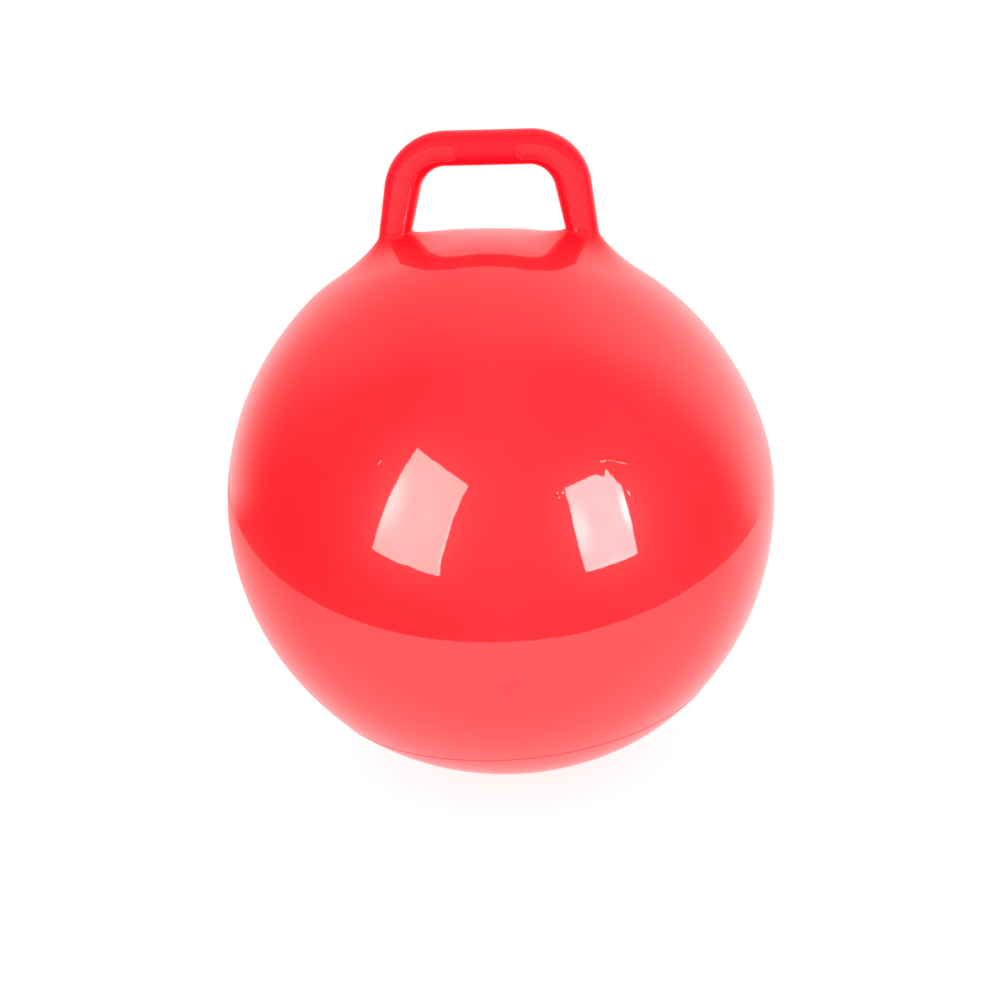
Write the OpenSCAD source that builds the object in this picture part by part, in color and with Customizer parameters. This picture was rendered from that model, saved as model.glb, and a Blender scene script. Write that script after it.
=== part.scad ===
// Hopper ball: an inflated ball with a hollow D-shaped handle and a stoppered air valve.
// Millimetres, +Z up. The origin is the middle of the flat patch that the ball rests on,
// the handle's front faces -Y, and the valve is behind, on the +Y side.

/* [Ball] */
// Outside diameter of the inflated ball
ball_d = 440; // [400:5:520]
// Thickness of the moulded skin
skin_t = 1.2; // [0.8:0.1:2]
// Diameter of the patch that the weight of the ball presses flat on the floor
rest_d = 62; // [40:2:90]
// Angle from the bottom of the ball up to the parting line of its mould, in degrees
parting_angle = 48; // [35:1:75]
// Width of the bead that the parting line leaves
parting_w = 2.4; // [1.6:0.2:4]
// Height of that bead over the skin
parting_h = 0.35; // [0.2:0.05:0.8]

/* [Handle] */
// Height of the top of the handle over the top of the ball
handle_rise = 75.5; // [68:0.5:95]
// Distance between the axes of the two legs, where they would meet the axis of the bar
handle_span = 120; // [114:1:140]
// Lean of each leg from the vertical, in degrees
leg_lean = 11; // [6:0.5:14]
// Radius of the corners between the legs and the bar, along the axis of the tube
corner_r = 34; // [28:1:36]
// Thickness of a leg across the handle, at its top
leg_top_w = 27.5; // [25:0.5:30]
// Thickness of a leg across the handle, at its foot
leg_foot_w = 24.5; // [22:0.5:27]
// Thickness of the bar, from top to bottom
bar_h = 26; // [23:0.5:28]
// Depth of the legs and the bar, from front to back
tube_depth = 27; // [23:0.5:32]
// Wall of the hollow legs and bar
handle_wall = 3; // [2:0.2:5]
// Squareness of the section of the tube, where 2 is an ellipse
section_power = 2.6; // [2:0.1:3.2]

/* [Handle roots] */
// Height over the ball at which a leg starts to flare
flare_rise = 9.5; // [8:0.5:16]
// Spread of the flare over the ball, outward from a leg
flare_out = 33; // [24:1:38]
// Spread of the flare over the ball, inward from a leg
flare_in = 46; // [34:1:50]
// Tightness of the flare, where 0.55 is nearly an arc and less is straighter
flare_hug = 0.42; // [0.36:0.02:0.7]

/* [Grip panels] */
// Width of the sunk grip panels
grip_w = 11; // [8:0.5:13]
// Depth to which they are sunk
grip_sink = 0.5; // [0.3:0.1:1]
// Width of the slanted edge round a panel
grip_edge = 0.5; // [0.3:0.1:1]
// Bare length of the bar between the two panels of a face
grip_gap = 46; // [36:1:52]
// Distance that the panels on the bar sit below its middle
grip_drop = 3; // [0:0.5:3]
// Distance from the lower end of a panel to the start of the flare
grip_end = 1.5; // [1.5:0.5:8]
// Radius of the two corners at the lower end of a panel
grip_corner_r = 2; // [1:0.5:3]

/* [Valve] */
// Height of the valve over the equator of the ball, in degrees
valve_lat = 40; // [20:1:55]
// Diameter of the outer flange of the valve
valve_d = 26; // [22:1:34]
// Height of that flange over the skin
valve_lip = 2.2; // [1.6:0.2:3]
// Diameter of the neck that passes through the skin
neck_d = 17; // [15:0.5:19]
// Length of the neck below the outside of the skin
neck_len = 13; // [10:1:18]
// Loss of radius of the neck from its inner flange to its end
neck_draft = 0.5; // [0.2:0.1:1]
// Diameter of the inner flange that keeps the neck in the skin
keeper_d = 24; // [21:1:28]
// Thickness of the inner flange
keeper_t = 2; // [1.5:0.1:3]

/* [Stopper] */
// Diameter of the head of the stopper
head_d = 13; // [11:0.5:14]
// Thickness of the head at its rim
head_t = 1.4; // [1:0.1:2]
// Height of the dome on the head
head_dome = 1; // [0.6:0.1:1.6]
// Diameter of the widest rib of the stopper
rib_d = 7.4; // [6:0.1:8]
// Number of ribs
rib_count = 4; // [3:1:5]
// Distance from rib to rib
rib_pitch = 3.4; // [3:0.1:4]
// Loss of diameter from each rib to the next one in
rib_taper = 0.2; // [0.1:0.05:0.3]
// Diameter of the stem between the ribs
stem_d = 5.4; // [4.5:0.1:5.8]

/* [Fits] */
// Gap all round between the neck and the hole in the skin, and under the flanges
seat_gap = 0.05; // [0.02:0.01:0.1]
// Gap all round between the widest rib and the bore
bore_gap = 0.05; // [0.02:0.01:0.1]
// Gap all round the head of the stopper in its recess
head_gap = 0.3; // [0.2:0.1:0.6]

/* [Hidden] */
$fn = 96;

ball_red = "#F5323C";
grip_red = "#EE3440";
stopper_white = "#F4F2EC";

// Ball: all of it is drawn about its centre, and lifted by centre_z at the end
ball_r = ball_d / 2;
rest_r = rest_d / 2;
centre_z = sqrt(ball_r * ball_r - rest_r * rest_r);
// How far a cutting cone reaches past the skin
over = 1;

// Axis of the right half of the handle, in the XZ plane: bar, corner arc, then straight leg
bar_z = ball_r + handle_rise - bar_h / 2;
corner_turn = 90 - leg_lean;
bar_half = handle_span / 2 - corner_r * tan(corner_turn / 2);
corner_mid = [bar_half, 0, bar_z - corner_r];
leg_down = [sin(leg_lean), 0, -cos(leg_lean)];
leg_out = [cos(leg_lean), 0, sin(leg_lean)];
front_back = [0, 1, 0];
leg_top = corner_mid + corner_r * leg_out;

// Distance from point p down the leg to a sphere of radius r about the centre of the ball
function drop_to(p, r) = let (along = p * leg_down) -along - sqrt(along * along - p * p + r * r);

leg_foot = leg_top + drop_to(leg_top, ball_r) * leg_down;

// Each root stands in a round opening of the skin, cut by a cone whose tip is the ball's centre
root_near = asin((leg_foot[0] - leg_foot_w / 2 - flare_in) / ball_r);
root_far = asin((leg_foot[0] + leg_foot_w / 2 + flare_out) / ball_r);
root_tilt = (root_far + root_near) / 2;
root_spread = (root_far - root_near) / 2;
root_axis = [sin(root_tilt), 0, cos(root_tilt)];
root_out = [cos(root_tilt), 0, -sin(root_tilt)];

function rim_side(a) = cos(a) * root_out + sin(a) * front_back;
function rim_dir(a) = cos(root_spread) * root_axis + sin(root_spread) * rim_side(a);
function rim_run(a) = cos(root_spread) * rim_side(a) - sin(root_spread) * root_axis;

// Section of the tube. It runs from the outer edge over the front to the inner edge and back
// over the rear, and each face has a point at both sides of the slanted edges of its panel.
side_steps = 6;
floor_steps = 4;
half_count = 2 * side_steps + floor_steps + 2;
ring_count = 2 * half_count;

function depth_at(u, hw, hd) = hd * pow(max(0, 1 - pow(abs(u) / hw, section_power)), 1 / section_power);
function turn_at(u, hw) = acos(pow(abs(u) / hw, section_power / 2));
function width_at(turn, hw) = hw * pow(abs(cos(turn)), 2 / section_power);

// Places across a face, from hw to -hw, with the panel from mid + w / 2 to mid - w / 2
function face_steps(hw, mid, w) =
    let (
        floor_hi = mid + w / 2,
        floor_lo = mid - w / 2,
        edge_hi = floor_hi + grip_edge,
        edge_lo = floor_lo - grip_edge
    )
    concat(
        [for (i = [0:side_steps - 1]) width_at(turn_at(edge_hi, hw) * i / side_steps, hw)],
        [edge_hi],
        [for (i = [0:floor_steps]) floor_hi + (floor_lo - floor_hi) * i / floor_steps],
        [for (i = [0:side_steps - 1]) -width_at(turn_at(edge_lo, hw) * (1 - i / side_steps), hw)]
    );

function is_floor(i) = i > side_steps && i <= side_steps + floor_steps + 1;

// Section points [across, front to back] of a tube with half width hw and half depth hd,
// shrunk by inset for the hollow inside
function section(hw, hd, mid, w, sink, inset) =
    let (
        shrink = (hw - inset) / hw,
        face = [for (u = face_steps(hw, mid, w)) u * shrink],
        half = [for (i = [0:half_count - 1])
            [face[i], depth_at(face[i], hw - inset, hd - inset) - (is_floor(i) ? sink : 0)]]
    )
    concat(
        [for (p = half) [p[0], -p[1]]],
        [for (i = [half_count:-1:1]) i == half_count ? [-(hw - inset), 0] : [half[i][0], half[i][1]]]
    );

// Ease from 0 to 1
function ease(t) = (1 - cos(180 * t)) / 2;

// Half width of the tube and the middle of its panels, t of the way round the corner
function half_width(t) = (bar_h + (leg_top_w - bar_h) * ease(t)) / 2;
function panel_mid(t) = -grip_drop * (1 - ease(t));

function place(points, mid, out) = [for (p = points) mid + p[0] * out + p[1] * front_back];

// Rings round the tube: across the bar at x, across the corner at t, down the leg at t,
// and over the flare at t. Each holds ring_count points.
function bar_ring(x, w, sink, inset) =
    place(section(bar_h / 2, tube_depth / 2, panel_mid(0), w, sink, inset), [x, 0, bar_z], [0, 0, 1]);

function corner_ring(t, w, sink, inset) =
    let (
        a = 90 - corner_turn * t,
        out = [cos(a), 0, sin(a)]
    )
    place(section(half_width(t), tube_depth / 2, panel_mid(t), w, sink, inset), corner_mid + corner_r * out, out);

// A leg tapers from its top to its foot, where every point is flare_rise over the ball
function leg_ring(t, w, sink, inset) =
    let (
        top = corner_ring(1, w, sink, inset),
        low = place(section(leg_foot_w / 2, tube_depth / 2, 0, w, sink, inset), leg_top, leg_out)
    )
    [for (j = [0:ring_count - 1])
        (1 - t) * top[j] + t * (low[j] + drop_to(low[j], ball_r + flare_rise) * leg_down)];

// Turns round the rim of the opening for the points of a ring, which keep their place in the section
function rim_turns() =
    let (
        hw = leg_foot_w / 2,
        front = [for (u = face_steps(hw, 0, grip_w)) u < 0 ? 180 - turn_at(u, hw) : turn_at(u, hw)]
    )
    concat([for (a = front) -a], [180], [for (i = [half_count - 1:-1:1]) front[i]]);

// The flare is a Bezier curve from each point of the leg's foot to the rim of the opening, which
// it meets along the ball
function flare_ring(t, inset) =
    let (
        shell_r = ball_r - (inset > 0 ? skin_t : 0),
        start = leg_ring(1, grip_w, 0, inset),
        turns = rim_turns()
    )
    [for (j = [0:ring_count - 1])
        let (
            a = turns[j],
            p0 = start[j],
            drop = drop_to(p0, shell_r),
            p3 = shell_r * rim_dir(a),
            spread = norm(p3 - (p0 + drop * leg_down)),
            p1 = p0 + flare_hug * drop * leg_down,
            p2 = p3 - flare_hug * spread * rim_run(a)
        )
        pow(1 - t, 3) * p0 + 3 * pow(1 - t, 2) * t * p1 + 3 * (1 - t) * t * t * p2 + pow(t, 3) * p3];

// Width of a panel d inside an end whose corners have radius r
function end_width(d, r) = grip_w - 2 * r + 2 * sqrt(r * r - pow(r - min(d, r), 2));

flare_steps = 10;
corner_steps = 9;
// The upper end of a panel is round but for a short flat
round_share = 0.9;
bar_end_r = round_share * grip_w / 2;
bar_ends = [for (k = [0.06, 0.25, 0.55, 1]) k * bar_end_r];
leg_ends = [for (k = [1, 0.5, 0.1]) k * grip_corner_r];
leg_len = drop_to(leg_top - tube_depth / 2 * front_back, ball_r + flare_rise);

// Right half of the tube, from the rim of the opening up to the middle of the bar
function half_tube(inset) =
    let (sink = inset > 0 ? 0 : grip_sink)
    concat(
        [for (i = [flare_steps:-1:1]) flare_ring(i / flare_steps, inset)],
        [leg_ring(1, grip_w, 0, inset)],
        [leg_ring(1 - (grip_end - grip_edge) / leg_len, end_width(leg_ends[2], grip_corner_r), 0, inset)],
        [for (i = [2:-1:0])
            leg_ring(1 - (grip_end + leg_ends[i]) / leg_len, end_width(leg_ends[i], grip_corner_r), sink, inset)],
        [for (i = [2, 1]) leg_ring(i / 4, grip_w, sink, inset)],
        [for (i = [corner_steps:-1:0]) corner_ring(i / corner_steps, grip_w, sink, inset)],
        [for (i = [3:-1:0]) bar_ring(grip_gap / 2 + bar_ends[i], end_width(bar_ends[i], bar_end_r), sink, inset)],
        [bar_ring(grip_gap / 2 - grip_edge, end_width(bar_ends[0], bar_end_r), 0, inset)],
        [bar_ring(grip_gap / 4, grip_w, 0, inset)]
    );

function mirrored(ring) = [for (p = ring) [-p[0], p[1], p[2]]];

function whole_tube(inset) =
    let (right = half_tube(inset))
    concat(
        right,
        [bar_ring(0, grip_w, 0, inset)],
        [for (i = [len(right) - 1:-1:0]) mirrored(right[i])]
    );

// The four corners of each patch between two rings, from ring row of the points that start at base
function patch(base, row, j) =
    let (
        k = (j + 1) % ring_count,
        lo = base + row * ring_count,
        hi = lo + ring_count
    )
    [lo + j, lo + k, hi + k, hi + j];

function both_halves(q) = [[q[0], q[1], q[2]], [q[0], q[2], q[3]]];
function flipped(q) = [q[3], q[2], q[1], q[0]];

module tube_shell() {
    outer = whole_tube(0);
    inner = whole_tube(handle_wall);
    rows = len(outer);
    inner_base = rows * ring_count;
    points = concat([for (ring = outer) each ring], [for (ring = inner) each ring]);
    walls = [for (row = [0:rows - 2], j = [0:ring_count - 1])
        each concat(
            both_halves(patch(0, row, j)),
            both_halves(flipped(patch(inner_base, row, j)))
        )];
    rims = [for (end = [0, rows - 1], j = [0:ring_count - 1])
        let (
            k = (j + 1) % ring_count,
            lo = end * ring_count,
            q = [lo + j, lo + inner_base + j, lo + inner_base + k, lo + k]
        )
        each both_halves(end == 0 ? q : flipped(q))];
    polyhedron(points = points, faces = concat(walls, rims), convexity = 6);
}

// A ball of radius r about the centre, with its bottom cut flat at the height floor_z
module flat_ball(r, floor_z) {
    difference() {
        sphere(r = r, $fn = 180);
        translate([-r, -r, floor_z - 2 * r]) cube(2 * r);
    }
}

// The cone that cuts the opening of the root on the given side, 1 for right and -1 for left
module root_cone(side) {
    reach = ball_r + over;
    rotate([0, side * root_tilt, 0])
        cylinder(h = reach, r1 = 0, r2 = reach * tan(root_spread), $fn = 144);
}

// Turns +Z to the axis of the valve
module at_valve() {
    rotate([valve_lat - 90, 0, 0]) children();
}

module parting_bead() {
    at_z = -ball_r * cos(parting_angle);
    at_r = ball_r * sin(parting_angle);
    rotate_extrude($fn = 180)
        translate([at_r, at_z])
            rotate(parting_angle - 90)
                polygon([
                    [-skin_t / 2, -parting_w / 2],
                    [0, -parting_w / 2],
                    [parting_h, -parting_w / 6],
                    [parting_h, parting_w / 6],
                    [0, parting_w / 2],
                    [-skin_t / 2, parting_w / 2]
                ]);
}

module ball_skin() {
    color(ball_red)
        translate([0, 0, centre_z])
            difference() {
                union() {
                    difference() {
                        flat_ball(ball_r, -centre_z);
                        flat_ball(ball_r - skin_t, skin_t - centre_z);
                    }
                    parting_bead();
                }
                for (side = [-1, 1]) root_cone(side);
                at_valve()
                    translate([0, 0, ball_r / 2])
                        cylinder(h = ball_r, d = neck_d + 2 * seat_gap);
            }
}

module handle() {
    color(grip_red) translate([0, 0, centre_z]) tube_shell();
}

// Heights along the axis of the valve
lip_z = ball_r + valve_lip;
head_seat_z = lip_z - head_t;
neck_end_z = ball_r - neck_len;

// Height of a sphere of radius r at the distance x from the axis
function sphere_at(r, x) = sqrt(r * r - x * x);

// Outline of the bush, [radius, height]: neck, inner flange, groove for the skin, outer flange
module bush_outline() {
    neck_r = neck_d / 2;
    keeper_r = keeper_d / 2;
    flange_r = valve_d / 2;
    bore_r = rib_d / 2 + bore_gap;
    recess_r = head_d / 2 + head_gap;
    inside_r = ball_r - skin_t - seat_gap;
    outside_r = ball_r + seat_gap;
    round_r = valve_lip / 2;
    polygon(concat(
        [
            [bore_r, neck_end_z],
            [neck_r - neck_draft, neck_end_z],
            [neck_r, sphere_at(inside_r, neck_r) - keeper_t],
            [keeper_r, sphere_at(inside_r, keeper_r) - keeper_t / 2],
            [keeper_r, sphere_at(inside_r, keeper_r)],
            [neck_r, sphere_at(inside_r, neck_r)],
            [neck_r, sphere_at(outside_r, neck_r)],
            [flange_r, sphere_at(outside_r, flange_r)]
        ],
        [for (a = [0:15:90])
            [flange_r - round_r * (1 - cos(a)), lip_z - round_r * (1 - sin(a))]],
        [[recess_r, lip_z], [recess_r, head_seat_z], [bore_r, head_seat_z]]
    ));
}

module valve_bush() {
    notch_r = 1.2 * head_t;
    color(ball_red)
        translate([0, 0, centre_z])
            at_valve()
                difference() {
                    rotate_extrude() bush_outline();
                    // Notch for a fingernail, from the recess out through the flange
                    translate([0, 0, lip_z])
                        rotate([0, 90, 0])
                            cylinder(h = valve_d, r = notch_r, $fn = 32);
                }
}

// Outline of the stopper, [radius, height], with 0 at the seat of its head
function dome_outline() = [for (a = [90:-15:0]) [head_d / 2 * cos(a), head_t + head_dome * sin(a)]];

function rib_outline(i) =
    let (
        top = -rib_pitch * (i + 0.5),
        r = rib_d / 2 - rib_taper / 2 * i
    )
    [[stem_d / 2, top], [r, top - rib_pitch / 8], [r, top - rib_pitch / 3], [stem_d / 2, top - rib_pitch * 3 / 4]];

module valve_plug() {
    tip = -rib_pitch * (rib_count + 1);
    color(stopper_white)
        translate([0, 0, centre_z])
            at_valve()
                translate([0, 0, head_seat_z])
                    rotate_extrude()
                        polygon(concat(
                            dome_outline(),
                            [[head_d / 2, 0], [stem_d / 2, 0]],
                            [for (i = [0:rib_count - 1]) each rib_outline(i)],
                            [[stem_d / 2, tip + stem_d / 4], [stem_d / 4, tip], [0, tip]]
                        ));
}

ball_skin();
handle();
valve_bush();
valve_plug();
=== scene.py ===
import math

import bmesh
import bpy
import numpy as np
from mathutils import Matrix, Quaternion, Vector, noise
from mathutils.geometry import delaunay_2d_cdt


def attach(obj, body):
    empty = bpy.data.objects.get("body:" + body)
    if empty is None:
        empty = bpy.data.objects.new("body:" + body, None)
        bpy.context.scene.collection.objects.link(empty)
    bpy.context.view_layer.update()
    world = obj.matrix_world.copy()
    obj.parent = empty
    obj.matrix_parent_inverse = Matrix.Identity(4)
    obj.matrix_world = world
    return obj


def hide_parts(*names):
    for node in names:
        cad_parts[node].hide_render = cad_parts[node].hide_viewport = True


bl_info = {
    "name": "Hopper Ball",
    "version": (1, 0, 0),
    "blender": (4, 5, 0),
    "location": "3D View > Sidebar > Hopper Ball",
    "description": "Skin, handle, valve and studio of an inflated hopper ball",
    "category": "Add Mesh",
}

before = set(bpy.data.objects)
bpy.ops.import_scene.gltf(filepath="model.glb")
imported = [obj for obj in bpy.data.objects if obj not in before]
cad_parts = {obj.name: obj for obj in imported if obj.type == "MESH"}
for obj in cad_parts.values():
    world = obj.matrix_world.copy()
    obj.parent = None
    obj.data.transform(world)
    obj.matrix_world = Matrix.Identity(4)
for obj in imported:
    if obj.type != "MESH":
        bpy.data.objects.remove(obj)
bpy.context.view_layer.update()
MM = 0.001
FRONT_BACK = np.array([0.0, 1.0, 0.0])
ROOT_POLISH = "root_polish"

# Small creases and pimples of the skin on the ball's front: the two ends as degrees round from the front to
# the right and degrees over the equator, then width and height in millimetres
SKIN_MARKS = (
    (20.2, 24.0, 24.9, 23.75, 0.9, 0.05),
    (24.9, 23.75, 26.9, 23.75, 0.9, 0.14),
    (26.9, 23.75, 30.1, 22.5, 0.9, 0.1),
    (25.9, 22.7, 26.4, 20.9, 2.6, 0.16),
    (14.8, 19.6, 15.3, 19.2, 0.8, 0.11),
    (15.9, 19.3, 16.2, 19.1, 0.8, 0.09),
    (15.3, 18.4, 15.5, 18.3, 0.7, 0.08),
    (29.4, 17.6, 29.6, 17.0, 0.6, 0.05),
    (-18.4, 25.2, -18.9, 24.5, 0.8, 0.11),
    (-12.9, 25.1, -12.5, 24.9, 1.3, 0.05),
    (-12.0, 7.2, -11.4, 6.9, 1.6, 0.05),
    (-3.2, 27.9, -3.1, 27.8, 0.6, 0.05),
)

# Broad swellings of the skin: the middle as degrees round from the front to the right and degrees over the
# equator, then the reach in degrees and the height in millimetres
SWELLINGS = (
    (87, 12, 14, 1.9),
    (-90, 53.5, 10, 2.0),
    (-121, 79, 7, 2.0),
    (133, 79, 6, 1.1),
)

# The studio that the skin mirrors, in metres, with X to the camera's right and Y away from the camera.
# Brightness of its walls in front of the ball and behind it, and of the cards: a place from the left at 0 to
# the right at 1, and the level there
ROOM_RADIUS = 3.0
FRONT_WALLS = (
    (0.0, 0.0), (0.03, 0.06), (0.07, 0.12), (0.25, 0.17), (0.5, 0.36), (0.75, 0.22), (0.93, 0.25),
    (0.97, 0.19), (1.0, 0.13))
BACK_WALLS = (
    (0.0, 0.0), (0.03, 0.1), (0.053, 0.25), (0.083, 0.38), (0.12, 0.53), (0.16, 0.64), (0.2, 0.72),
    (0.24, 0.74), (0.28, 0.7), (0.35, 0.64), (0.5, 0.6), (0.65, 0.65), (0.72, 0.78), (0.8, 0.86),
    (0.88, 0.92))
CARD_LEVELS = (
    (0.0, 0.02), (0.15, 0.05), (0.27, 0.09), (0.37, 0.13), (0.45, 0.23), (0.5, 0.31), (0.63, 0.25),
    (0.72, 0.23), (0.85, 0.19), (1.0, 0.16))

# Corners of the cards on their plane, as X and Z
CARD_Y = -0.25
CARDS = {
    "left_card": ((-0.62, 0.25), (-0.17, 0.25), (-0.17, 0.4), (0.0, 0.4), (0.0, 0.75), (-0.62, 0.75)),
    "right_card": ((0.18, 0.24), (0.62, 0.24), (0.62, 0.62), (0.18, 0.62)),
}

# The windows on their wall: top and bottom edge as X and Z from left to right, how far the left and the right
# edge bow, tint, gain, and hot spots. A spot is its place across and up the window, its reach across and up,
# and its gain. A lamp at each window lights the ball
WINDOW_Y = -1.5
LAMP_SIZE = 0.8
LAMP_AIM = (0.0, 0.0, 0.25)
WINDOWS = {
    "left_window": (
        ((-1.09, 1.52), (-0.315, 0.905)), ((-1.72, 0.11), (-1.045, 0.01), (-0.64, -0.03)),
        (0.0, -0.035), "#FFF4EC", 1.0,
        (((0.04, 0.47), (0.4, 0.45), 0.58), ((1.0, 0.3), (0.05, 0.8), 0.5))),
    "right_window": (
        ((0.73, 0.85), (1.25, 1.05), (1.735, 0.935)), ((0.853, -0.09), (1.853, -0.107)),
        (-0.03, -0.045), "#FFFAF9", 1.16,
        (((0.05, 0.5), (0.25, 0.45), 0.45), ((0.95, 0.62), (0.22, 0.42), 0.92),
         ((0.5, 0.0), (0.8, 0.12), 0.15))),
}


def linear(hex_colour):
    """Turns an sRGB hex colour to linear red, green, blue and alpha."""
    parts = [int(hex_colour[i:i + 2], 16) / 255 for i in (1, 3, 5)]
    return [p / 12.92 if p <= 0.04045 else ((p + 0.055) / 1.055) ** 2.4 for p in parts] + [1.0]


def size(name, description, millimetres):
    return bpy.props.FloatProperty(
        name=name, description=description, default=millimetres * MM, unit="LENGTH", precision=5)


def angle(name, description, degrees):
    return bpy.props.FloatProperty(
        name=name, description=description, default=math.radians(degrees), subtype="ANGLE")


def share(name, description, value):
    return bpy.props.FloatProperty(name=name, description=description, default=value, subtype="FACTOR")


def strength(name, description, value):
    return bpy.props.FloatProperty(name=name, description=description, default=value, min=0.0)


def colour(name, description, hex_colour):
    return bpy.props.FloatVectorProperty(
        name=name, description=description, default=linear(hex_colour), size=4, subtype="COLOR")


class BallSizes(bpy.types.PropertyGroup):
    """Sizes of the inflated ball"""
    diameter: size("Diameter", "Outside diameter of the inflated ball", 440)
    skin: size("Skin", "Thickness of the moulded skin", 1.2)
    rest: size("Resting patch", "Diameter of the patch that the ball's weight presses flat", 62)
    rest_softness: size("Patch edge", "Softness of the edge of the resting patch", 0.3)
    parting_angle: angle("Parting line", "Angle from the bottom of the ball to the parting line", 47.6)
    parting_lean: angle("Parting lean", "Lean of the parting line to the left", 3.9)
    parting_width: size("Parting width", "Width of the bead at the parting line", 2.4)
    parting_height: size("Parting height", "Height of the bead at the parting line", 0.35)
    wave_height: size("Wave height", "Height of the slow waves that the mould leaves in the skin", 0.1)
    wave_length: size("Wave length", "Length of these waves", 110)
    lopsided: size("Lopsided", "Swelling of the thin upper left over the thick upper right of the skin", 3.7)
    bulge: size("Bulge", "Swelling of the loaded skin round the bottom", 0.9)
    bulge_angle: angle("Bulge angle", "Angle from the bottom of the ball to the middle of this swelling", 41)
    bulge_width: angle("Bulge width", "Width of this swelling", 9)
    valve_latitude: angle("Valve", "Height of the valve over the equator of the ball", 40)
    valve_hole: size("Valve hole", "Diameter of the hole that grips the neck of the valve", 17.1)


class HandleSizes(bpy.types.PropertyGroup):
    """Sizes of the hollow handle"""
    rise: size("Rise", "Height of the top of the handle over the top of the ball", 75.5)
    span: size("Span", "Distance between the axes of the legs at the axis of the bar", 120)
    lean: angle("Lean", "Lean of each leg from the vertical", 11)
    corner: size("Corner radius", "Radius of the corners along the axis of the tube", 34)
    leg_top: size("Leg top", "Thickness of a leg across the handle, at its top", 27.5)
    leg_foot: size("Leg foot", "Thickness of a leg across the handle, at its foot", 24.5)
    bar_height: size("Bar height", "Thickness of the bar from top to bottom", 26)
    depth: size("Depth", "Depth of the tube from front to back", 27)
    wall: size("Wall", "Wall of the hollow legs and bar", 3)
    squareness: bpy.props.FloatProperty(
        name="Squareness", description="Power of the section of the tube, where 2 is an ellipse", default=2.6)
    flare_rise: size("Flare rise", "Height over the ball at which a leg starts to flare", 9.5)
    flare_outer: size("Flare outer rise", "How much higher the flare starts on the outer side of a leg", 4.5)
    flare_out: size("Flare out", "Spread of the flare outward from a leg", 33)
    flare_in: size("Flare in", "Spread of the flare inward from a leg", 46)
    flare_hug: share("Flare hug", "Tightness of the flare, where 0.55 is nearly an arc", 0.42)
    sway: share("Sway", "Lean of the soft handle to the right, as a share of its height over the ball", 0.028)


class GripSizes(bpy.types.PropertyGroup):
    """Sizes of the sunk grip panels"""
    width: size("Width", "Width of the sunk panels", 11)
    sink: size("Sink", "Depth to which they are sunk", 0.5)
    edge: size("Edge", "Width of the slanted edge round a panel", 0.5)
    bare: size("Bare length", "Bare length of the bar between two panels", 46)
    drop: size("Drop", "Distance that the panels on the bar sit below its middle", 3)
    end: size("End", "Distance from the lower end of a panel to the flare", 4)
    corner: size("Corner radius", "Radius of the corners at the lower end of a panel", 2)
    bar_end: size("Bar end radius", "Radius of the round end of a panel on the bar", 4.95)
    grain: size("Grain", "Size of one pebble of the grain", 1.7)
    grain_height: size("Grain height", "Height of one pebble of the grain", 0.18)


class Finishes(bpy.types.PropertyGroup):
    """Colours of the ball and its valve"""
    skin: colour("Skin", "Red of the ball's soft PVC skin", "#FF1121")
    handle: colour("Handle", "Red of the handle's smooth skin", "#FF1027")
    # The PVC's red, painted paler and pinker than the handle's: a painted sheen of the dull etched panels
    grip: colour("Grip", "Red of the pebbled panels", "#FF1C32")
    stopper: colour("Stopper", "White of the stopper", "#EFEDE6")


class StudioSizes(bpy.types.PropertyGroup):
    """Camera, floor and light"""
    distance: size("Distance", "Distance from the camera to the ball's centre", 1100)
    elevation: angle("Elevation", "Height of the camera over the ball's centre", 18.4)
    turn: angle("Turn", "Turn of the camera and the studio round the ball", 5)
    roll: angle("Roll", "Roll of the camera, which leans the ball to the left", 2.6)
    ball_across: bpy.props.FloatProperty(
        name="Ball width", description="Width of the ball in the picture, in pixels", default=545.6)
    offset_right: bpy.props.FloatProperty(
        name="Offset right", description="Place of the ball's centre right of the middle, in pixels",
        default=0.7)
    offset_down: bpy.props.FloatProperty(
        name="Offset down", description="Place of the ball's centre below the middle, in pixels", default=1.3)
    picture: bpy.props.IntProperty(
        name="Picture", description="Width of the picture, in pixels", default=1000)
    table_width: size("Table width", "Width of the white oval table top", 1600)
    table_length: size("Table length", "Length of the table top from front to back", 1670)
    table_back: size("Table place", "Distance of the table's middle behind the ball", 380)
    table_right: size("Table right", "Distance of the table's middle right of the ball", 20)
    fill: strength("Fill", "Strength of the even light from all round", 1.05)
    window: strength("Windows", "Strength of the two windows as the skin mirrors them", 8.3)
    lamp: strength("Lamps", "Power of the lamp at each window, in watts", 3.0)


def unit(vectors):
    return vectors / np.linalg.norm(vectors, axis=-1, keepdims=True)


def eased(t):
    """Eases from 0 to 1 as t goes from 0 to 1, and stays level outside."""
    t = np.clip(t, 0.0, 1.0)
    return t * t * (3.0 - 2.0 * t)


def spread_on_sphere(spacing, radius):
    """Directions spread evenly over a sphere, about the given spacing apart."""
    count = int(4.0 * math.pi * radius ** 2 / spacing ** 2)
    height = 1.0 - 2.0 * (np.arange(count) + 0.5) / count
    turn = np.arange(count) * math.pi * (3.0 - math.sqrt(5.0))
    level = np.sqrt(1.0 - height ** 2)
    return np.stack([level * np.cos(turn), level * np.sin(turn), height], axis=1)


def circle_round(axis, side, spread, count):
    """Directions on the circle at the angle spread from an axis, from side towards axis x side."""
    turn = np.arange(count)[:, None] * 2.0 * math.pi / count
    across = np.cos(turn) * side + np.sin(turn) * np.cross(axis, side)
    return math.cos(spread) * axis + math.sin(spread) * across


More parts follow.
